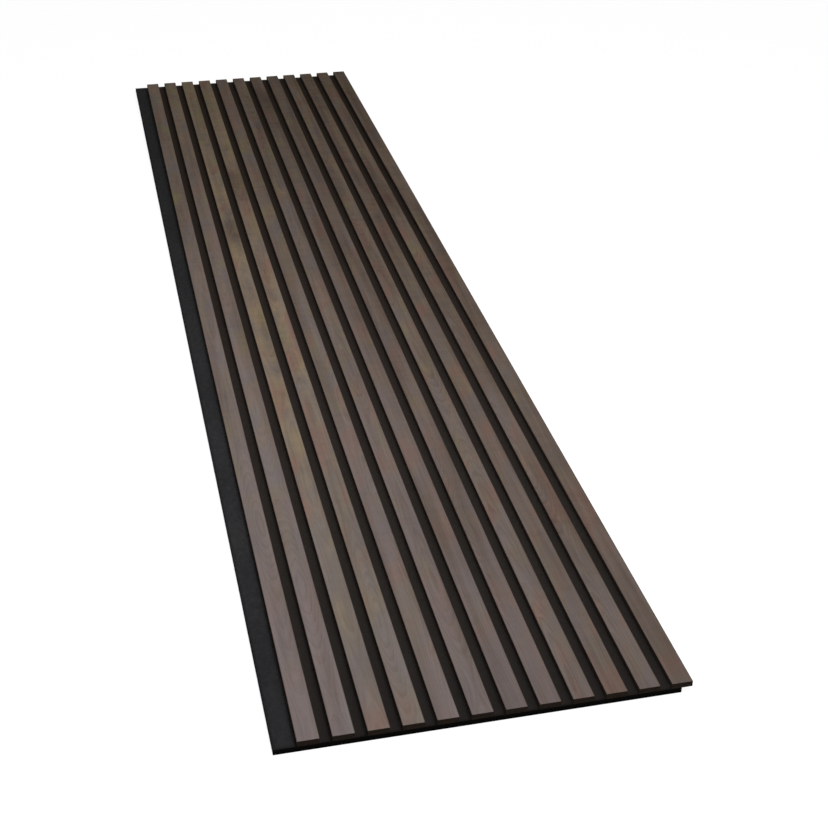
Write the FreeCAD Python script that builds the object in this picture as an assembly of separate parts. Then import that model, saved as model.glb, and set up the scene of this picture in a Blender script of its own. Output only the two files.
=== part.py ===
import FreeCAD, Part
import os

# Acoustic slat wall panel, in millimetres, lying face up on its back.
# A sheet of black felt carries a row of veneered slats, stapled on from behind.
# X runs across the slats, Y along them and Z out of the wall.
# The origin is under the middle of the panel, on the plane of the felt's back.

# Panel
panel_length = 2780.0
slat_count = 12
slat_width = 32.0
slat_gap = 18.0
# The last slat stands this far over the felt, to close the joint with the next panel
lap_overhang = 16.0

# Thickness of each layer
felt_thickness = 9.5
core_thickness = 9.0
veneer_thickness = 0.5
# Radius of the sanded edges of the veneer's face, at most half its thickness
veneer_arris = 0.25

# Staple of flat wire: the crown lies along the slat, both legs end in the slat's core
staple_crown = 12.8
staple_leg = 15.0
wire_width = 0.95
wire_thickness = 0.65
bend_radius = 0.9
point_length = 1.2
# Depth of the crown's outer side below the felt's back
crown_sink = 0.3
# Room left in front of each staple point
point_clearance = 0.3

# Rows of staples along the panel
staple_rows = 6
first_row_from_end = 70.0

# Places that follow from the sizes above
pitch = slat_width + slat_gap
ledge = slat_gap + lap_overhang
slats_across = slat_count * slat_width + (slat_count - 1) * slat_gap
felt_width = ledge + slats_across - lap_overhang
panel_width = felt_width + lap_overhang
felt_left = -panel_width / 2
felt_right = felt_left + felt_width
near_end = -panel_length / 2
core_bottom = felt_thickness
veneer_bottom = core_bottom + core_thickness
row_spacing = (panel_length - 2 * first_row_from_end) / (staple_rows - 1)


def slat_left(index):
    """X of the left side of a slat, counted from 0."""
    return felt_left + ledge + index * pitch


def staple_x(index):
    """X of the middle of the strip where a slat lies on the felt."""
    left = slat_left(index)
    right = min(left + slat_width, felt_right)
    return (left + right) / 2


def row_y(row):
    """Y of a row of staples, counted from 0."""
    return near_end + first_row_from_end + row * row_spacing


def long_edges(shape, height):
    """The edges that run all along the panel at one height."""
    found = []
    for edge in shape.Edges:
        box = edge.BoundBox
        if box.YLength > panel_length / 2 and abs(box.ZMin - height) < 1e-6:
            found.append(edge)
    return found


def make_staple():
    """One staple with its crown's outer side at z = 0, legs up, centred on the origin."""
    half = staple_crown / 2
    inner = half - wire_thickness
    bevel_height = staple_leg - point_length
    crown_half = half - bend_radius
    slant = bend_radius * (1 - 2 ** -0.5)

    def at(y, z):
        return FreeCAD.Vector(-wire_width / 2, y, z)

    edges = [
        Part.LineSegment(at(-crown_half, 0), at(crown_half, 0)),
        Part.LineSegment(at(-inner, wire_thickness), at(inner, wire_thickness)),
    ]
    for side in (-1, 1):
        crown_end = at(side * crown_half, 0)
        bend_middle = at(side * (half - slant), slant)
        leg_start = at(side * half, bend_radius)
        tip = at(side * half, staple_leg)
        bevel = at(side * inner, bevel_height)
        crook = at(side * inner, wire_thickness)
        edges.append(Part.Arc(crown_end, bend_middle, leg_start))
        edges.append(Part.LineSegment(leg_start, tip))
        edges.append(Part.LineSegment(tip, bevel))
        edges.append(Part.LineSegment(bevel, crook))
    outline = Part.sortEdges([edge.toShape() for edge in edges])[0]
    profile = Part.Face(Part.Wire(outline))
    return profile.extrude(FreeCAD.Vector(wire_width, 0, 0))


def make_staple_room():
    """The slots that one staple fills: a groove for the crown and one for each leg."""
    half = staple_crown / 2
    corner = FreeCAD.Vector(-wire_width / 2, -half, -crown_sink)
    room = Part.makeBox(wire_width, staple_crown, crown_sink + wire_thickness, corner)
    for y in (-half, half - wire_thickness):
        foot = FreeCAD.Vector(-wire_width / 2, y, 0)
        leg = Part.makeBox(wire_width, wire_thickness, staple_leg + point_clearance, foot)
        room = room.fuse(leg)
    return room.removeSplitter()


def staple_places(index):
    """Where the staples of one slat go."""
    places = []
    for row in range(staple_rows):
        places.append(FreeCAD.Vector(staple_x(index), row_y(row), crown_sink))
    return places


def copies(shape, places):
    """The same shape at each place."""
    return [shape.translated(place) for place in places]


def make_felt(rooms):
    """The felt sheet, as wide as the slats' pitch times their number."""
    corner = FreeCAD.Vector(felt_left, near_end, 0)
    sheet = Part.makeBox(felt_width, panel_length, felt_thickness, corner)
    return sheet.cut(rooms)


def make_core(index, rooms):
    """A slat's core: a sawn strip of black fibreboard with blind slots in its back."""
    corner = FreeCAD.Vector(slat_left(index), near_end, core_bottom)
    strip = Part.makeBox(slat_width, panel_length, core_thickness, corner)
    return strip.cut(rooms)


def make_veneer(index):
    """A slat's face: a strip of veneer with sanded long edges."""
    corner = FreeCAD.Vector(slat_left(index), near_end, veneer_bottom)
    strip = Part.makeBox(slat_width, panel_length, veneer_thickness, corner)
    face_edges = long_edges(strip, veneer_bottom + veneer_thickness)
    return strip.makeFillet(min(veneer_arris, veneer_thickness / 2), face_edges)


os.makedirs("parts", exist_ok=True)
staple = make_staple()
staple_room = make_staple_room()
all_staples = []
all_rooms = []
for number in range(slat_count):
    places = staple_places(number)
    rooms = copies(staple_room, places)
    all_staples += copies(staple, places)
    all_rooms += rooms
    make_core(number, rooms).exportStep(f"parts/slat_core_{number + 1:02d}.step")
    make_veneer(number).exportStep(f"parts/slat_veneer_{number + 1:02d}.step")
make_felt(all_rooms).exportStep("parts/felt_backing.step")
Part.makeCompound(all_staples).exportStep("parts/back_staples.step")
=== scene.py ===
import math

import bpy
from mathutils import Matrix, Vector, noise


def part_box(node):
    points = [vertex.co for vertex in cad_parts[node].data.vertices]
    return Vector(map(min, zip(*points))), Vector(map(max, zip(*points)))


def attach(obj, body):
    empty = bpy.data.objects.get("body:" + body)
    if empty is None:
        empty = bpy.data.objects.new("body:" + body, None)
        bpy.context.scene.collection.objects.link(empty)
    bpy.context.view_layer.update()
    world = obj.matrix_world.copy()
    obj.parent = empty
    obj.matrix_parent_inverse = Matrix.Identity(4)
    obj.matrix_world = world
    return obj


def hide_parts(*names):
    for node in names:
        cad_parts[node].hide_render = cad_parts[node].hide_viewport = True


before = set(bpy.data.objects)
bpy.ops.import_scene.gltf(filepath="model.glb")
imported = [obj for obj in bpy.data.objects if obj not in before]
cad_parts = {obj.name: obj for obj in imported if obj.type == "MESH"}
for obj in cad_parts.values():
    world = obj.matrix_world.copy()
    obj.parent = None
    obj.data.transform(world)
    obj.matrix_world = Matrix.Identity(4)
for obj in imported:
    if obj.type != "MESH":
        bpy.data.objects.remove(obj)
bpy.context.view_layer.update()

# The felt: one sheet of black polyester fleece, needled to a firm mat and cut with a knife.
# It carries every slat. It swells a little between them, and each staple pulls a dimple
# in its back.
felt_low, felt_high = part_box("felt_backing")
slat_count = sum(name.startswith("slat_core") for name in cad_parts)
core_names = [f"slat_core_{number + 1:02d}" for number in range(slat_count)]
core_boxes = [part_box(name) for name in core_names]
slat_width = core_boxes[0][1].x - core_boxes[0][0].x
pitch = core_boxes[1][0].x - core_boxes[0][0].x
gap = pitch - slat_width
staple_low, staple_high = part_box("back_staples")
staple_rows = 6
crown_length = 0.0128
crown_depth = 0.00095
first_row = staple_low.y + crown_length / 2
row_spacing = (staple_high.y - staple_low.y - crown_length) / (staple_rows - 1)
dimple_reach = 0.0032
dimple_floor = 0.0006
dimple_columns = (dimple_floor, 0.0016, dimple_reach)
dimple_rows = (0.0, 0.0012, dimple_reach)
edge_round = 0.0009
edge_steps = (0.0, 0.14, 0.45, 1.0)
wall_levels = (0.25, 0.5, 0.75)
groove_swell = 0.00028
felt_waviness = 0.00009
felt_wave_period = 0.02
knife_wander = 0.00016
short_wander_period = 0.03
long_wander_period = 0.4
wall_wander_period = 0.011
wave_seed = 3.7
column_step = 0.006
row_step = 0.0165
mat_periods = (0.00045, 0.0035, 0.0009)
clump_periods = (0.009, 0.014, 0.009)
cloud_periods = (0.06, 0.16, 0.06)
needle_spacing = 0.0032
cut_shade_width = 0.0055
cut_shade_share = 0.45
bounce_start = 0.003
bounce_share = 0.6
near_shade_length = 0.45
near_shade_tone = 0.72
felt_bump = 0.0005


def staple_points():
    """The middle of each staple's crown, on the back of the felt."""
    points = []
    for box_low, box_high in core_boxes:
        middle = (box_low.x + min(box_high.x, felt_high.x)) / 2
        for row in range(staple_rows):
            points.append((middle, first_row + row * row_spacing))
    return points


def near_both_ends(start, end, insets):
    """Places at each inset from both ends of a stretch."""
    return [start + inset for inset in insets] + [end - inset for inset in insets]


def spread_places(places, step):
    """The places in order, once each, with more between them where they lie far apart."""
    ordered = sorted(set(round(place, 6) for place in places))
    spread = [ordered[0]]
    for place in ordered[1:]:
        parts = math.ceil((place - spread[-1]) / step - 1e-6)
        start = spread[-1]
        for part in range(1, parts + 1):
            spread.append(start + (place - start) * part / parts)
    return spread


def felt_columns():
    """The X places of the felt's mesh: close at its cut edges, slats and staples."""
    insets = [edge_round * step for step in edge_steps]
    places = near_both_ends(felt_low.x, felt_high.x, insets)
    for box_low, box_high in core_boxes:
        places += [box_low.x, min(box_high.x, felt_high.x)]
    for x, _ in staple_points()[::staple_rows]:
        places += [x + side * reach for side in (-1, 1) for reach in dimple_columns]
    return spread_places(places, column_step)


def felt_rows():
    """The Y places of the felt's mesh: close at its cut ends and the staples."""
    insets = [edge_round * step for step in edge_steps]
    places = near_both_ends(felt_low.y, felt_high.y, insets)
    for row in range(staple_rows):
        y = first_row + row * row_spacing
        half = crown_length / 2
        places.append(y)
        for side in (-1, 1):
            places += [y + side * (half + reach) for reach in dimple_rows]
    return spread_places(places, row_step)


def edge_drop(x, y):
    """How far the rounding of the cut edges takes the surface down."""
    inset = min(x - felt_low.x, felt_high.x - x, y - felt_low.y, felt_high.y - y)
    short = min(max(edge_round - inset, 0), edge_round)
    return edge_round - math.sqrt(edge_round ** 2 - short ** 2)


def swell(x):
    """How far the felt rises between two slats, and on the ledge beside the first."""
    if x < core_boxes[0][0].x:
        return groove_swell * min((core_boxes[0][0].x - x) / gap * 2, 1)
    for left, right in zip(core_boxes, core_boxes[1:]):
        if left[1].x < x < right[0].x:
            along = (x - left[1].x) / gap
            return groove_swell * 4 * along * (1 - along)
    return 0


def wave(x, y, period, size):
    """A smooth unevenness, the same each time."""
    return size * noise.noise(Vector((x / period, y / period, wave_seed)))


def dimple(x, y, crowns):
    """How far the nearest staple pulls the back of the felt in."""
    deepest = 0
    for crown_x, crown_y in crowns:
        across = abs(x - crown_x)
        if across > dimple_reach:
            continue
        past = max(abs(y - crown_y) - crown_length / 2, 0)
        away = math.hypot(max(across - dimple_floor, 0), past)
        share = max(1 - away / (dimple_reach - dimple_floor), 0)
        deepest = max(deepest, crown_depth * share * share)
    return deepest


def felt_surfaces(columns, rows):
    """The points of the face and of the back, row by row from the near end."""
    crowns = staple_points()
    top = []
    back = []
    for y in rows:
        near = [crown for crown in crowns if abs(crown[1] - y) < crown_length]
        for x in columns:
            inset = wave(x, y, short_wander_period, knife_wander)
            inset += wave(y, x, long_wander_period, knife_wander)
            side = (x == columns[0]) - (x == columns[-1])
            end = (y == rows[0]) - (y == rows[-1])
            place_x = x + side * abs(inset)
            place_y = y + end * abs(inset)
            rise = swell(x)
            uneven = wave(x, y, felt_wave_period, felt_waviness) if rise else 0
            drop = edge_drop(x, y)
            top.append((place_x, place_y, felt_high.z - drop + rise + uneven))
            back.append((place_x, place_y, felt_low.z + drop + dimple(x, y, near)))
    return top, back


def grid_ring(across, down):
    """The numbers of the points round a grid, counted from its first corner."""
    last_row = (down - 1) * across
    ring = list(range(across))
    ring += [row * across + across - 1 for row in range(1, down)]
    ring += [last_row + column for column in range(across - 2, -1, -1)]
    ring += [row * across for row in range(down - 2, 0, -1)]
    return ring


def wall_point(low, high, share):
    """A point on the cut edge, which the knife leaves a little uneven."""
    x, y, z = high
    pull = abs(wave(y + x, share, wall_wander_period, knife_wander))
    x += pull * ((x < felt_low.x + edge_round) - (x > felt_high.x - edge_round))
    y += pull * ((y < felt_low.y + edge_round) - (y > felt_high.y - edge_round))
    return x, y, low[2] + (z - low[2]) * share


def felt_mesh():
    """The closed slab: a face, a back on the same grid, and a wall round both."""
    columns = felt_columns()
    rows = felt_rows()
    across = len(columns)
    top, back = felt_surfaces(columns, rows)
    vertices = top + back
    faces = []
    for row in range(len(rows) - 1):
        for column in range(across - 1):
            a = row * across + column
            b = a + across
            faces.append((a, a + 1, b + 1, b))
            faces.append(tuple(len(top) + k for k in (a, b, b + 1, a + 1)))
    ring = grid_ring(across, len(rows))
    levels = [[len(top) + k for k in ring]]
    for share in wall_levels:
        first = len(vertices)
        vertices += [wall_point(back[k], top[k], share) for k in ring]
        levels.append(list(range(first, len(vertices))))
    levels.append(ring)
    for lower, upper in zip(levels, levels[1:]):
        for k in range(len(ring)):
            after = (k + 1) % len(ring)
            faces.append((lower[k], lower[after], upper[after], upper[k]))
    mesh = bpy.data.meshes.new("felt")
    mesh.from_pydata(vertices, [], faces)
    mesh.validate()
    for face in mesh.polygons:
        face.use_smooth = True
    return mesh


def in_scene(name, data):
    """A new object of this data, in the scene."""
    made = bpy.data.objects.new(name, data)
    bpy.context.scene.collection.objects.link(made)
    return made


def linear(red, green, blue):
    """A colour given as it shows on a screen, from 0 to 255, in the light's own scale."""
    shares = [value / 255 for value in (red, green, blue)]
    return [s / 12.92 if s <= 0.04045 else ((s + 0.055) / 1.055) ** 2.4 for s in shares] + [1]


def put(tree, kind, inputs, **settings):
    """Adds a node. Each of its inputs takes a number, a colour or another node's output."""
    node = tree.nodes.new(kind)
    for name, value in settings.items():
        setattr(node, name, value)
    for name, value in inputs.items():
        if isinstance(value, bpy.types.NodeSocket):
            tree.links.new(value, node.inputs[name])
        else:
            node.inputs[name].default_value = value
    return node


def calculate(tree, operation, first, second=0.0, third=0.0):
    """The result of one sum, on numbers or outputs."""
    node = put(tree, "ShaderNodeMath", {0: first, 1: second, 2: third}, operation=operation)
    return node.outputs[0]


def start_material(name):
    """An empty material and its node tree."""
    material = bpy.data.materials.new(name)
    material.use_nodes = True
    material.node_tree.nodes.clear()
    return material, material.node_tree


def object_place(tree):
    """The place on the piece, in metres, and its X, Y and Z."""
    place = put(tree, "ShaderNodeTexCoord", {}).outputs["Object"]
    return place, put(tree, "ShaderNodeSeparateXYZ", {"Vector": place}).outputs


def surface_facing(tree):
    """The X, Y and Z of the way the surface faces."""
    normal = put(tree, "ShaderNodeNewGeometry", {}).outputs["Normal"]
    return put(tree, "ShaderNodeSeparateXYZ", {"Vector": normal}).outputs


def stretched_noise(tree, place, periods, turn=0.0, detail=2.0, roughness=0.5, shift=0.0):
    """Noise whose features are about as long as the periods along X, Y and Z, in metres."""
    scale = [1 / period for period in periods]
    turned = put(tree, "ShaderNodeMapping", {"Vector": place, "Rotation": (0, 0, turn)})
    sized = put(tree, "ShaderNodeMapping", {"Vector": turned.outputs[0], "Scale": scale})
    inputs = {"Vector": sized.outputs[0], "W": shift, "Scale": 1.0}
    inputs.update({"Detail": detail, "Roughness": roughness})
    return put(tree, "ShaderNodeTexNoise", inputs, noise_dimensions="4D").outputs["Fac"]


def in_range(tree, value, start, end, low_out=0.0, high_out=1.0, how="LINEAR"):
    """The value with one range taken to another, held at both ends."""
    inputs = {"Value": value, "From Min": start, "From Max": end}
    inputs.update({"To Min": low_out, "To Max": high_out})
    return put(tree, "ShaderNodeMapRange", inputs, interpolation_type=how).outputs[0]


def blend_colours(tree, share, first, second):
    """Two colours mixed by a share."""
    return put(tree, "ShaderNodeMix", {0: share, 6: first, 7: second}, data_type="RGBA").outputs[2]


def finish_material(tree, colour, roughness, height, bump_depth, **fixed):
    """The shader with its bump, and the values that are the same all over."""
    bump = put(tree, "ShaderNodeBump", {"Height": height, "Distance": bump_depth, "Strength": 1.0})
    inputs = {"Base Color": colour, "Roughness": roughness, "Normal": bump.outputs[0]}
    shader = put(tree, "ShaderNodeBsdfPrincipled", inputs)
    for name, value in fixed.items():
        shader.inputs[name.replace("_", " ")].default_value = value
    put(tree, "ShaderNodeOutputMaterial", {"Surface": shader.outputs[0]})


def felt_tone(tree, fibres, clumps, cloud, along):
    """How light the fleece is from place to place, with painted shade at its near end."""
    tone = calculate(tree, "MULTIPLY", in_range(tree, fibres, 0.45, 0.8), 0.55)
    tone = calculate(tree, "MULTIPLY_ADD", clumps, 0.35, tone)
    tone = calculate(tree, "MULTIPLY_ADD", cloud, 0.25, tone)
    # Painted shade: the fleece is darker towards the near end, where the light falls off
    near_shade = in_range(tree, along, felt_low.y, felt_low.y + near_shade_length, near_shade_tone, 1.0)
    return calculate(tree, "MULTIPLY", in_range(tree, tone, 0.25, 0.95), near_shade)


def groove_bounce(tree, axes):
    """The share of painted bounce light between the slats, a brown tint for light thrown back by
    the veneer, and its colour along the panel, darker at the near end and paler at the far end.
    """
    near_bounce = linear(29, 24, 20)
    far_bounce = linear(49, 36, 23)
    end = core_boxes[0][0].x
    beyond_ledge = in_range(tree, axes["X"], end - bounce_start, end, 0.0, bounce_share)
    upper_half = calculate(tree, "GREATER_THAN", axes["Z"], felt_high.z / 2)
    along = in_range(tree, axes["Y"], felt_low.y, felt_high.y)
    share = calculate(tree, "MULTIPLY", beyond_ledge, upper_half)
    return share, blend_colours(tree, along, near_bounce, far_bounce)


def shade_beside_cuts(tree, axes):
    """How much painted shade darkens the face along all four cuts."""
    edge_shade = 0.0
    for axis, start, end in (("X", felt_low.x, felt_high.x), ("Y", felt_low.y, felt_high.y)):
        half = (end - start) / 2
        off_middle = calculate(tree, "SUBTRACT", axes[axis], (start + end) / 2)
        off_middle = calculate(tree, "ABSOLUTE", off_middle)
        here = in_range(tree, off_middle, half - cut_shade_width, half, 0.0, cut_shade_share)
        edge_shade = calculate(tree, "MAXIMUM", edge_shade, here)
    return edge_shade


def shade_down_cuts(tree, axes):
    """How much painted shade darkens the cut edges: little at the face, and more towards the back.
    """
    upright = calculate(tree, "ABSOLUTE", surface_facing(tree)["Z"])
    cut = in_range(tree, upright, 0.8, 0.4)
    depth = in_range(tree, axes["Z"], felt_high.z, felt_high.z * 0.35, 0.1, 0.95)
    return calculate(tree, "MULTIPLY", cut, depth)


def felt_material():
    """Black fleece: fibres matted in every direction, faint needle rows and grey flecks."""
    felt_dark = linear(22, 22, 24)
    felt_light = linear(57, 57, 58)
    cut_shade = linear(5, 5, 4)
    material, tree = start_material("needled_felt")
    place, axes = object_place(tree)
    fibres = 0.0
    for turn, shift in ((0.4, 1.0), (1.5, 4.0), (2.5, 9.0), (-0.3, 13.0)):
        mat = stretched_noise(tree, place, mat_periods, turn, roughness=0.6, shift=shift)
        fibres = calculate(tree, "MAXIMUM", fibres, mat)
    clumps = stretched_noise(tree, place, clump_periods, detail=3.0, roughness=0.55, shift=2.0)
    cloud = stretched_noise(tree, place, cloud_periods, shift=5.0)
    inputs = {"Vector": place, "Scale": 1 / needle_spacing, "Randomness": 0.75}
    needles = put(tree, "ShaderNodeTexVoronoi", inputs).outputs["Distance"]
    tone = felt_tone(tree, fibres, clumps, cloud, axes["Y"])
    colour = blend_colours(tree, tone, felt_dark, felt_light)
    # Painted light: a brown bounce tint between the slats, paler towards the far end
    bounce, bounce_colour = groove_bounce(tree, axes)
    colour = blend_colours(tree, bounce, colour, bounce_colour)
    # Painted shade beside the cut edges, and down the cut edges towards the back
    colour = blend_colours(tree, shade_beside_cuts(tree, axes), colour, cut_shade)
    colour = blend_colours(tree, shade_down_cuts(tree, axes), colour, cut_shade)
    height = calculate(tree, "MULTIPLY_ADD", needles, 0.35, fibres)
    height = calculate(tree, "MULTIPLY_ADD", clumps, 0.8, height)
    roughness = in_range(tree, fibres, 0.4, 0.8, 1.0, 0.86)
    finish_material(tree, colour, roughness, height, felt_bump, Specular_IOR_Level=0.03)
    return material


felt = in_scene("felt", felt_mesh())
felt.data.materials.append(felt_material())
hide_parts("felt_backing")
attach(felt, "root")

# The nap: loose ends of the felt's own black fibres, which stand off its face and its cut edges.
# Needling leaves a few on the face, and the knife frees many more along the edges.
fibre_length = 0.0022
fibre_thickness = 0.00007
edge_density = 62000.0
face_density = 5200.0
shortest_share = 0.45
longest_share = 1.15
lean = 0.7
full_turn = 6.283
lowest_root = felt_low.z + fibre_length * 1.2
lowest_bare_face = fibre_thickness * 12
face_up = 0.7
nap_seed = 11
nap_dark = linear(17, 16, 16)
nap_light = linear(33, 32, 31)
nap_bump = 0.00002


def nap_carrier():
    """The bare faces of the felt, with how many fibres stand on each as an attribute."""
    mesh = felt.data.copy()
    density = mesh.attributes.new("nap", "FLOAT", "FACE")
    for face in mesh.polygons:
        x, y, z = face.center
        on_edge = edge_drop(x, y) > 0 or abs(face.normal.z) < face_up
        bare = swell(x) > 0 and face.normal.z > face_up
        amount = edge_density if on_edge else face_density if bare else 0
        density.data[face.index].value = amount if z > lowest_bare_face else 0
    return mesh


def socket(tree, name, kind, value=None, direction="INPUT"):
    """Adds a named input or output to a Geometry Nodes tree."""
    made = tree.interface.new_socket(name, in_out=direction, socket_type=kind)
    if value is not None:
        made.default_value = value


def thin_fibre(tree, given):
    """One curved three-sided fibre, as long as one unit, which starts a little below its root."""
    bend = {"Start": (0, 0, -0.12), "Middle": (0.1, 0, 0.75), "End": (0.85, 0.15, 0.42)}
    arc = put(tree, "GeometryNodeCurveQuadraticBezier", {"Resolution": 3, **bend})
    ring = put(tree, "GeometryNodeCurvePrimitiveCircle", {"Resolution": 3, "Radius": 0.5})
    share = calculate(tree, "DIVIDE", given["Fibre thickness"], given["Fibre length"])
    evenly = put(tree, "ShaderNodeCombineXYZ", {"X": share, "Y": share, "Z": share})
    inputs = {"Geometry": ring.outputs[0], "Scale": evenly.outputs[0]}
    thin = put(tree, "GeometryNodeTransform", inputs)
    inputs = {"Curve": arc.outputs[0], "Profile Curve": thin.outputs[0], "Fill Caps": True}
    return put(tree, "GeometryNodeCurveToMesh", inputs).outputs[0]


def fibre_roots(tree, given):
    """Points scattered over the mesh as its nap attribute says, and the way each faces."""
    amount = put(tree, "GeometryNodeInputNamedAttribute", {"Name": "nap"}, data_type="FLOAT")
    inputs = {"Mesh": given["Geometry"], "Density": amount.outputs[0], "Seed": given["Seed"]}
    points = put(tree, "GeometryNodeDistributePointsOnFaces", inputs, distribute_method="RANDOM")
    place = put(tree, "GeometryNodeInputPosition", {}).outputs[0]
    height = put(tree, "ShaderNodeSeparateXYZ", {"Vector": place}).outputs["Z"]
    inputs = {0: height, 1: given["Lowest root"]}
    too_low = put(tree, "FunctionNodeCompare", inputs, operation="LESS_THAN")
    inputs = {"Geometry": points.outputs["Points"], "Selection": too_low.outputs[0]}
    kept = put(tree, "GeometryNodeDeleteGeometry", inputs)
    return kept.outputs[0], points.outputs["Normal"]


def nap_tree():
    """Fibres that stand on their roots, each turned, leant and sized by chance."""
    tree = bpy.data.node_groups.new("felt_nap", "GeometryNodeTree")
    socket(tree, "Geometry", "NodeSocketGeometry")
    socket(tree, "Fibre length", "NodeSocketFloat", fibre_length)
    socket(tree, "Fibre thickness", "NodeSocketFloat", fibre_thickness)
    socket(tree, "Lowest root", "NodeSocketFloat", lowest_root)
    socket(tree, "Seed", "NodeSocketInt", nap_seed)
    socket(tree, "Finish", "NodeSocketMaterial")
    socket(tree, "Geometry", "NodeSocketGeometry", direction="OUTPUT")
    given = put(tree, "NodeGroupInput", {}).outputs
    roots, normal = fibre_roots(tree, given)
    standing = put(tree, "FunctionNodeAlignRotationToVector", {"Vector": normal}, axis="Z")
    span = {"Min": (-lean, -lean, 0.0), "Max": (lean, lean, full_turn), "Seed": given["Seed"]}
    turn = put(tree, "FunctionNodeRandomValue", span, data_type="FLOAT_VECTOR")
    inputs = {"Rotation": standing.outputs[0], "Rotate By": turn.outputs[0]}
    turned = put(tree, "FunctionNodeRotateRotation", inputs, rotation_space="LOCAL")
    span = {2: shortest_share, 3: longest_share, "Seed": given["Seed"]}
    share = put(tree, "FunctionNodeRandomValue", span, data_type="FLOAT")
    size = calculate(tree, "MULTIPLY", share.outputs[1], given["Fibre length"])
    inputs = {"Points": roots, "Instance": thin_fibre(tree, given)}
    inputs.update({"Rotation": turned.outputs[0], "Scale": size})
    placed = put(tree, "GeometryNodeInstanceOnPoints", inputs)
    real = put(tree, "GeometryNodeRealizeInstances", {"Geometry": placed.outputs[0]})
    inputs = {"Geometry": real.outputs[0], "Material": given["Finish"]}
    painted = put(tree, "GeometryNodeSetMaterial", inputs)
    put(tree, "NodeGroupOutput", {"Geometry": painted.outputs[0]})
    return tree


def grown(name, mesh, tree, values):
    """A plain mesh object of what a Geometry Nodes tree makes of a mesh."""
    carrier = in_scene(name + "_carrier", mesh)
    modifier = carrier.modifiers.new("grow", "NODES")
    modifier.node_group = tree
    sockets = [item for item in tree.interface.items_tree if item.in_out == "INPUT"]
    names = {item.name: item.identifier for item in sockets}
    for key, value in values.items():
        modifier[names[key]] = value
    evaluated = carrier.evaluated_get(bpy.context.evaluated_depsgraph_get())
    made = bpy.data.meshes.new_from_object(evaluated)
    bpy.data.objects.remove(carrier)
    return in_scene(name, made)


def nap_material():
    """The same black fibre, a little lighter where it stands in the light."""
    material, tree = start_material("nap_fibre")
    place = object_place(tree)[0]
    tone = stretched_noise(tree, place, (0.004, 0.004, 0.004), detail=1.0, shift=3.0)
    along = stretched_noise(tree, place, (0.0003, 0.0003, 0.0003), detail=1.0, shift=8.0)
    colour = blend_colours(tree, in_range(tree, tone, 0.35, 0.65), nap_dark, nap_light)
    roughness = in_range(tree, along, 0.3, 0.7, 0.6, 0.85)
    finish_material(tree, colour, roughness, along, nap_bump, Specular_IOR_Level=0.02)
    return material


nap = grown("felt_nap", nap_carrier(), nap_tree(), {"Finish": nap_material()})
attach(nap, "root")

# The slat cores: sawn strips of fibreboard, dyed black all through, each stapled on from behind.
# Their sides are fine and nearly black. The saw leaves the ends rougher and a shade browner.
chip_periods = (0.0006, 0.0012, 0.0004)
board_fibre_periods = (0.00025, 0.003, 0.00018)
mottle_periods = (0.006, 0.02, 0.003)
saw_periods = (0.01, 0.0007, 0.02)
side_dark = linear(40, 35, 32)
side_light = linear(58, 51, 46)
end_dark = linear(45, 37, 32)
end_light = linear(66, 55, 48)
core_bump = 0.00012


def core_material():
    """Dyed fibreboard: fine chips and short fibres, with saw lines across the sides."""
    material, tree = start_material("dyed_fibreboard")
    place = object_place(tree)[0]
    chips = stretched_noise(tree, place, chip_periods, detail=3.0, roughness=0.65, shift=1.0)
    fibres = stretched_noise(tree, place, board_fibre_periods, roughness=0.6, shift=6.0)
    mottle = stretched_noise(tree, place, mottle_periods, shift=3.0)
    saw = stretched_noise(tree, place, saw_periods, detail=1.0, shift=9.0)
    lengthwise = calculate(tree, "ABSOLUTE", surface_facing(tree)["Y"])
    on_end = in_range(tree, lengthwise, 0.5, 0.8)
    fleck = calculate(tree, "MULTIPLY", mottle, 0.4)
    fleck = calculate(tree, "MULTIPLY_ADD", chips, 0.6, fleck)
    fleck = in_range(tree, fleck, 0.38, 0.62)
    side_colour = blend_colours(tree, fleck, side_dark, side_light)
    end_colour = blend_colours(tree, fleck, end_dark, end_light)
    colour = blend_colours(tree, on_end, side_colour, end_colour)
    height = calculate(tree, "MULTIPLY_ADD", saw, 0.5, chips)
    height = calculate(tree, "MULTIPLY_ADD", fibres, 0.5, height)
    roughness = in_range(tree, fibres, 0.3, 0.7, 0.7, 0.92)
    finish_material(tree, colour, roughness, height, core_bump, Specular_IOR_Level=0.03)
    return material


def give_finish(name, finish):
    """Gives a CAD piece its finish in place of the plain one."""
    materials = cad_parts[name].data.materials
    materials.clear()
    materials.append(finish)


core_finish = core_material()
for name in core_names:
    give_finish(name, core_finish)

# The slat faces: strips of smoked hardwood veneer, half a millimetre thick, glued to the cores.
# The long edges are sanded to a small round, and a matt lacquer leaves the open pores to be seen.
first_middle = (core_boxes[0][0].x + core_boxes[0][1].x) / 2
log_seed = 21.5
log_length = 40.0
heart_offset = 0.07
heart_wander = 0.03
slant_depths = (0.008, 0.05)
ring_spacing = 0.0021
ring_ripple = 0.0016
grain_periods = (0.0016, 0.16, 0.01)
pore_periods = (0.00016, 0.0042, 0.01)
blotch_periods = (0.035, 0.12, 0.05)
smoke_periods = (0.02, 0.35, 1.0)
figure_periods = (0.05, 0.016, 1.0)
cast_periods = (0.035, 0.11, 1.0)
mauve_grey = linear(114, 104, 103)
grey_brown = linear(114, 105, 96)
golden_brown = linear(144, 126, 104)
slate_cast = linear(102, 100, 107)
olive_cast = linear(119, 113, 80)
rose_cast = linear(127, 99, 90)
umber_without_sheen = linear(121, 101, 87)
smoke_and_shade_dark = linear(71, 59, 51)
pore_dark_and_rim_shade = linear(44, 36, 31)
leaf_warmth = (0.22, 0.22, 0.67, 0.64, 0.32, 0.22, 0.14, 0.14, 0.45, 0.47, 0.46, 0.52)
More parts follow.
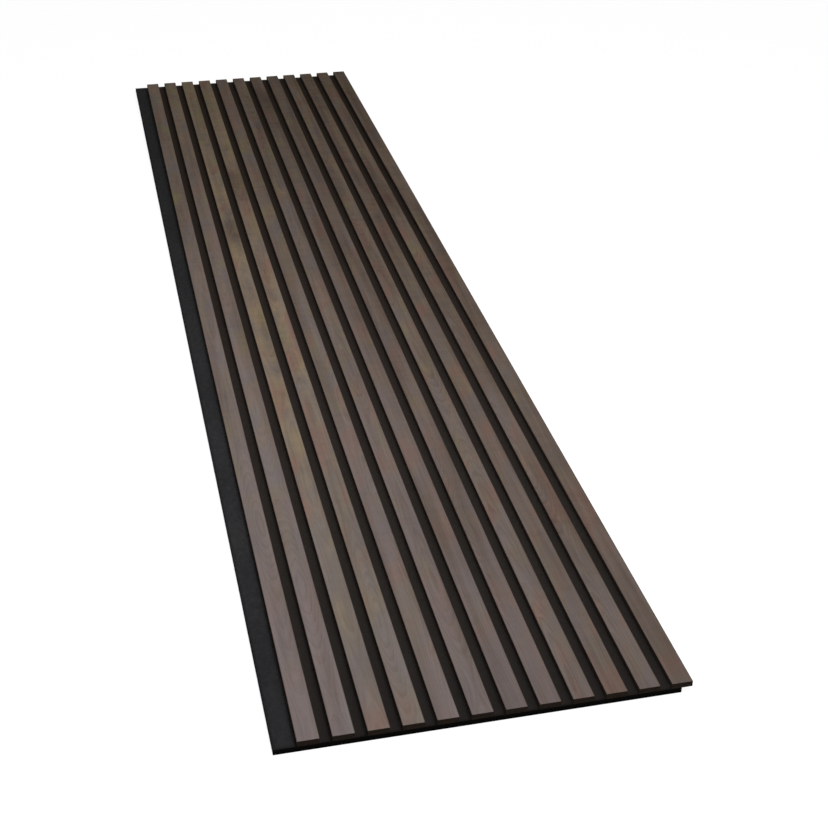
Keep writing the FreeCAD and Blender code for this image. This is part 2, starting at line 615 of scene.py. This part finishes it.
leaf_redness = (0.2, 0.2, 0.85, 0.8, 0.55, 0.5, 0.55, 0.5, 0.9, 1.0, 1.0, 0.9)
leaf_smoke_and_shade = (0.01, 0.0, 0.0, 0.01, 0.13, 0.16, 0.28, 0.33, 0.30, 0.38, 0.37, 0.42)
smoked_patches = ((2, 0.3, 0.35), (3, 0.6, 0.35), (6, 1.18, 0.25), (10, 0.42, 0.15))
band_warmth = 0.9
blotch_warmth = 1.25
painted_sheen_warmths = (-0.3, 0.43)
patch_reach = 0.14
patch_core = 0.03
patch_raggedness = 0.25
late_wood_share = 0.12
line_share = 0.11
streak_share = 0.16
smoke_share = 0.37
pore_share = 0.35
rim_shade_width = 0.0014
rim_shade_share = 0.65
veneer_bump = 0.00006


def by_slat(tree, number, values):
    """A value of its own for each slat, picked by the slat's number."""
    place = calculate(tree, "MULTIPLY_ADD", number, 1 / len(values), 0.5 / len(values))
    ramp = put(tree, "ShaderNodeValToRGB", {"Fac": place})
    ramp.color_ramp.interpolation = "CONSTANT"
    elements = ramp.color_ramp.elements
    while len(elements) < len(values):
        elements.new(1.0)
    for k, value in enumerate(values):
        elements[k].position = k / len(values)
        elements[k].color = (value, value, value, 1)
    return ramp.outputs[0]


def swung(tree, noise_value, amount, value):
    """The value, moved up and down by a noise taken about its middle."""
    swing = calculate(tree, "SUBTRACT", noise_value, 0.5)
    return calculate(tree, "MULTIPLY_ADD", swing, amount, value)


def darkened(tree, mark, start, end, share, dark):
    """The darkness with a share more where a mark is strong."""
    return calculate(tree, "MULTIPLY_ADD", in_range(tree, mark, start, end), share, dark)


def strip_place(tree, axes):
    """The slat's number, the place across it, its chances, and its grain's own place."""
    across = calculate(tree, "SUBTRACT", axes["X"], first_middle)
    across = calculate(tree, "DIVIDE", across, pitch)
    number = calculate(tree, "FLOOR", calculate(tree, "ADD", across, 0.5))
    inside = calculate(tree, "SUBTRACT", across, number)
    inside = calculate(tree, "MULTIPLY", inside, pitch)
    # Each strip is cut from another part of the log, so its grain starts elsewhere
    inputs = {"W": calculate(tree, "ADD", number, log_seed)}
    chance = put(tree, "ShaderNodeTexWhiteNoise", inputs, noise_dimensions="1D")
    inputs = {"Color": chance.outputs["Color"]}
    chances = put(tree, "ShaderNodeSeparateColor", inputs).outputs
    along = calculate(tree, "MULTIPLY_ADD", chances["Green"], log_length, axes["Y"])
    inputs = {"X": inside, "Y": along, "Z": chances["Blue"]}
    strip = put(tree, "ShaderNodeCombineXYZ", inputs).outputs[0]
    return number, inside, chances, strip


def growth_rings(tree, strip, inside, chances):
    """The rings' late wood, with the broad bands and the fine lines that follow the rings."""
    from_heart = swung(tree, chances["Red"], heart_offset, inside)
    wander = stretched_noise(tree, strip, (0.12, 0.55, 1.0), shift=2.0)
    from_heart = swung(tree, wander, heart_wander, from_heart)
    slant = stretched_noise(tree, strip, (1.0, 0.6, 1.0), detail=1.0, shift=7.0)
    depth = in_range(tree, slant, 0.25, 0.75, *slant_depths)
    squares = calculate(tree, "MULTIPLY", depth, depth)
    squares = calculate(tree, "MULTIPLY_ADD", from_heart, from_heart, squares)
    ripple = stretched_noise(tree, strip, (0.006, 0.05, 1.0), shift=11.0)
    radius = calculate(tree, "SQRT", squares)
    radius = calculate(tree, "MULTIPLY_ADD", ripple, ring_ripple, radius)
    ring = calculate(tree, "FRACT", calculate(tree, "DIVIDE", radius, ring_spacing))
    late_wood = in_range(tree, ring, 0.3, 1.0, how="SMOOTHSTEP")
    inputs = {"X": radius, "Y": chances["Blue"], "Z": 0.0}
    rings = put(tree, "ShaderNodeCombineXYZ", inputs).outputs[0]
    bands = stretched_noise(tree, rings, (0.006, 1.0, 1.0), roughness=0.6, shift=3.0)
    lines = stretched_noise(tree, rings, (0.0009, 1.0, 1.0), roughness=0.7, shift=5.0)
    return late_wood, bands, lines


def veneer_hue(tree, number, far, warmth, blotch, cast):
    """Mauve where the smoke took best, golden where it took least, with three slow casts, and a
    painted sheen: greyer at the near end and browner towards the far end.
    """
    cool = blend_colours(tree, in_range(tree, warmth, 0.0, 0.5), mauve_grey, grey_brown)
    colour = blend_colours(tree, in_range(tree, warmth, 0.5, 1.0), cool, golden_brown)
    # Painted sheen: greyer at the near end, browner towards the far end
    colour = blend_colours(tree, calculate(tree, "MULTIPLY", far, 0.5), colour, umber_without_sheen)
    slaty = calculate(tree, "MULTIPLY_ADD", far, 0.2, 0.34)
    slaty = calculate(tree, "MULTIPLY", in_range(tree, cast, 0.5, 0.3), slaty)
    colour = blend_colours(tree, slaty, colour, slate_cast)
    rosy = calculate(tree, "MULTIPLY_ADD", far, 0.8, 0.6)
    rosy = calculate(tree, "MULTIPLY", by_slat(tree, number, leaf_redness), rosy)
    rosy = calculate(tree, "MULTIPLY", in_range(tree, cast, 0.52, 0.66), rosy)
    colour = blend_colours(tree, rosy, colour, rose_cast)
    warmest = in_range(tree, warmth, 0.8, 1.4)
    olive = calculate(tree, "MAXIMUM", in_range(tree, blotch, 0.53, 0.68), warmest)
    olive = calculate(tree, "MULTIPLY", olive, far)
    return blend_colours(tree, calculate(tree, "MULTIPLY", olive, 0.85), colour, olive_cast)


def patched(tree, number, along, blotch, dark):
    """The darkness, with more where a few strips took the smoke deeper in one place."""
    for leaf, middle, share in smoked_patches:
        away = calculate(tree, "SUBTRACT", along, middle)
        away = calculate(tree, "ABSOLUTE", away)
        away = swung(tree, blotch, patch_raggedness, away)
        patch = in_range(tree, away, patch_reach, patch_core, 0.0, share)
        here = calculate(tree, "COMPARE", number, leaf, 0.5)
        dark = calculate(tree, "MULTIPLY_ADD", patch, here, dark)
    return dark


def veneer_material():
    """Smoked veneer: growth rings cut at a slant, streaks, pores and slow changes of tone, with
    painted shade and a painted sheen.
    """
    material, tree = start_material("smoked_veneer")
    axes = object_place(tree)[1]
    number, inside, chances, strip = strip_place(tree, axes)
    late_wood, bands, lines = growth_rings(tree, strip, inside, chances)
    streaks = stretched_noise(tree, strip, grain_periods, detail=3.0, roughness=0.65, shift=8.0)
    pores = stretched_noise(tree, strip, pore_periods, detail=1.0, shift=14.0)
    pores = in_range(tree, pores, 0.60, 0.70)
    blotch = stretched_noise(tree, strip, blotch_periods, roughness=0.55, shift=17.0)
    smoke = stretched_noise(tree, strip, smoke_periods, shift=19.0)
    figure = stretched_noise(tree, strip, figure_periods, 0.12, shift=23.0)
    cast = stretched_noise(tree, strip, cast_periods, 0.2, detail=1.0, shift=29.0)
    far = in_range(tree, axes["Y"], felt_low.y, felt_high.y)
    warmth = by_slat(tree, number, leaf_warmth)
    warmth = swung(tree, bands, band_warmth, warmth)
    warmth = swung(tree, blotch, blotch_warmth, warmth)
    # Painted sheen: cooler at the near end, warmer towards the far end
    lengthwise = in_range(tree, axes["Y"], felt_low.y, felt_high.y, *painted_sheen_warmths)
    warmth = calculate(tree, "ADD", lengthwise, warmth)
    colour = veneer_hue(tree, number, far, warmth, blotch, cast)
    # Partly each strip's own smoke, partly painted shade that deepens towards the right-hand slats
    dark = by_slat(tree, number, leaf_smoke_and_shade)
    dark = calculate(tree, "MULTIPLY_ADD", late_wood, late_wood_share, dark)
    dark = darkened(tree, lines, 0.4, 0.7, line_share, dark)
    dark = darkened(tree, streaks, 0.4, 0.75, streak_share, dark)
    dark = darkened(tree, smoke, 0.4, 0.8, smoke_share, dark)
    figured = calculate(tree, "MULTIPLY_ADD", far, 0.12, 0.05)
    figured = calculate(tree, "MULTIPLY", in_range(tree, figure, 0.45, 0.75), figured)
    dark = calculate(tree, "ADD", figured, dark)
    dark = patched(tree, number, axes["Y"], blotch, dark)
    colour = blend_colours(tree, dark, colour, smoke_and_shade_dark)
    pore_depth = calculate(tree, "MULTIPLY", pores, pore_share)
    colour = blend_colours(tree, pore_depth, colour, pore_dark_and_rim_shade)
    # Painted shade along the sanded long edges
    off_middle = calculate(tree, "ABSOLUTE", inside)
    rim_shade = in_range(tree, off_middle, slat_width / 2 - rim_shade_width, slat_width / 2)
    colour = blend_colours(tree, calculate(tree, "MULTIPLY", rim_shade, rim_shade_share), colour, pore_dark_and_rim_shade)
    height = calculate(tree, "MULTIPLY", streaks, 0.4)
    height = calculate(tree, "MULTIPLY_ADD", pores, -0.8, height)
    height = calculate(tree, "MULTIPLY_ADD", late_wood, 0.15, height)
    roughness = calculate(tree, "MULTIPLY_ADD", streaks, 0.2, 0.5)
    roughness = calculate(tree, "MULTIPLY_ADD", pores, 0.2, roughness)
    finish_material(tree, colour, roughness, height, veneer_bump, Specular_IOR_Level=0.01)
    return material


veneer_finish = veneer_material()
for number in range(slat_count):
    give_finish(f"slat_veneer_{number + 1:02d}", veneer_finish)

# The staples: flat galvanised steel wire, six along each slat, driven from the back.
# Only their crowns show, in the felt's dimples. Their legs end inside the cores.
drawing_periods = (0.00006, 0.004, 0.004)
bloom_periods = (0.0012, 0.0012, 0.0012)
wire_bright = linear(176, 178, 180)
wire_dull = linear(140, 141, 142)
wire_bump = 0.00001


def staple_material():
    """Galvanised wire: drawing lines along it and a dull grey bloom."""
    material, tree = start_material("galvanised_wire")
    place = object_place(tree)[0]
    lines = stretched_noise(tree, place, drawing_periods, roughness=0.6, shift=1.0)
    bloom = stretched_noise(tree, place, bloom_periods, detail=3.0, roughness=0.6, shift=4.0)
    colour = blend_colours(tree, in_range(tree, bloom, 0.35, 0.65), wire_bright, wire_dull)
    roughness = calculate(tree, "MULTIPLY_ADD", bloom, 0.25, 0.25)
    finish_material(tree, colour, roughness, lines, wire_bump, Metallic=1.0)
    return material


give_finish("back_staples", staple_material())

# The studio: a white floor and room, a long soft lamp over the near half, and a broad light
# from the right. The floor and the room look white to the camera, and lend the panel only
# a plain, even light.
floor_size = 60.0
floor_glow = 0.93
floor_diffuse = 0.14
floor_return = 0.25
room_light = 0.08
plain_white = (1, 1, 1, 1)
lamp_place = Vector((0.12, -1.1, 1.55))
lamp_size = (1.0, 2.35)
lamp_power = 32.0
sky_from = Vector((0.58, 0.27, 0.77))
sky_spread = 40.0
sky_strength = 1.2


def seen_directly(tree):
    """1 for camera, glossy and transmission rays, 0 for the rest."""
    path = put(tree, "ShaderNodeLightPath", {}).outputs
    mirrored = calculate(tree, "MAXIMUM", path["Is Glossy Ray"], path["Is Transmission Ray"])
    return calculate(tree, "MAXIMUM", path["Is Camera Ray"], mirrored)


def grey(level):
    """A grey of this level in the light's own scale."""
    return (level, level, level, 1)


def floor_material():
    """White to the camera but for the panel's shadow, and pale grey to the panel."""
    material, tree = start_material("white_floor")
    returned = put(tree, "ShaderNodeBsdfDiffuse", {"Color": grey(floor_return)})
    glow = put(tree, "ShaderNodeEmission", {"Color": plain_white, "Strength": floor_glow})
    thin = put(tree, "ShaderNodeBsdfDiffuse", {"Color": grey(floor_diffuse)})
    lit = put(tree, "ShaderNodeAddShader", {0: glow.outputs[0], 1: thin.outputs[0]})
    inputs = {0: seen_directly(tree), 1: returned.outputs[0], 2: lit.outputs[0]}
    shown = put(tree, "ShaderNodeMixShader", inputs)
    put(tree, "ShaderNodeOutputMaterial", {"Surface": shown.outputs[0]})
    return material


half_floor = floor_size / 2
signs = ((-1, -1), (1, -1), (1, 1), (-1, 1))
corners = [(x * half_floor, y * half_floor, 0) for x, y in signs]
floor_mesh = bpy.data.meshes.new("floor")
floor_mesh.from_pydata(corners, [], [(0, 1, 2, 3)])
floor_mesh.materials.append(floor_material())
in_scene("floor", floor_mesh)

room = bpy.data.worlds.new("room")
bpy.context.scene.world = room
room.use_nodes = True
room.node_tree.nodes.clear()
tree = room.node_tree
plain = put(tree, "ShaderNodeBackground", {"Color": plain_white, "Strength": room_light})
white = put(tree, "ShaderNodeBackground", {"Color": plain_white, "Strength": 1.0})
inputs = {0: seen_directly(tree), 1: plain.outputs[0], 2: white.outputs[0]}
either = put(tree, "ShaderNodeMixShader", inputs)
put(tree, "ShaderNodeOutputWorld", {"Surface": either.outputs[0]})

lamp_data = bpy.data.lights.new("soft_lamp", "AREA")
lamp_data.shape = "RECTANGLE"
lamp_data.size, lamp_data.size_y = lamp_size
lamp_data.energy = lamp_power
lamp = in_scene("soft_lamp", lamp_data)
lamp.location = lamp_place
lamp.visible_camera = False
sky_data = bpy.data.lights.new("broad_light", "SUN")
sky_data.angle = math.radians(sky_spread)
sky_data.energy = sky_strength
sky = in_scene("broad_light", sky_data)
sky.rotation_euler = sky_from.to_track_quat("Z", "Y").to_euler()

# The camera: above the near end and left of the panel, looking down along it.
# Its place, turn and lens follow from the panel's own edges and corners.
camera_place = Vector((-0.46671, -2.92831, 1.48767))
camera_heading = 13.014
camera_down = 31.312
camera_roll = 0.404
camera_lens = 65.588
camera_data = bpy.data.cameras.new("camera")
camera_data.sensor_width = 36.0
camera_data.lens = camera_lens
camera_data.clip_start = 0.01
camera_data.clip_end = 200.0
camera = in_scene("camera", camera_data)
turned = Matrix.Rotation(math.radians(-camera_heading), 4, "Z")
tipped = Matrix.Rotation(math.radians(90 - camera_down), 4, "X")
rolled = Matrix.Rotation(math.radians(camera_roll), 4, "Z")
camera.matrix_world = Matrix.Translation(camera_place) @ turned @ tipped @ rolled
bpy.context.scene.camera = camera
bpy.context.scene.view_settings.view_transform = "Standard"
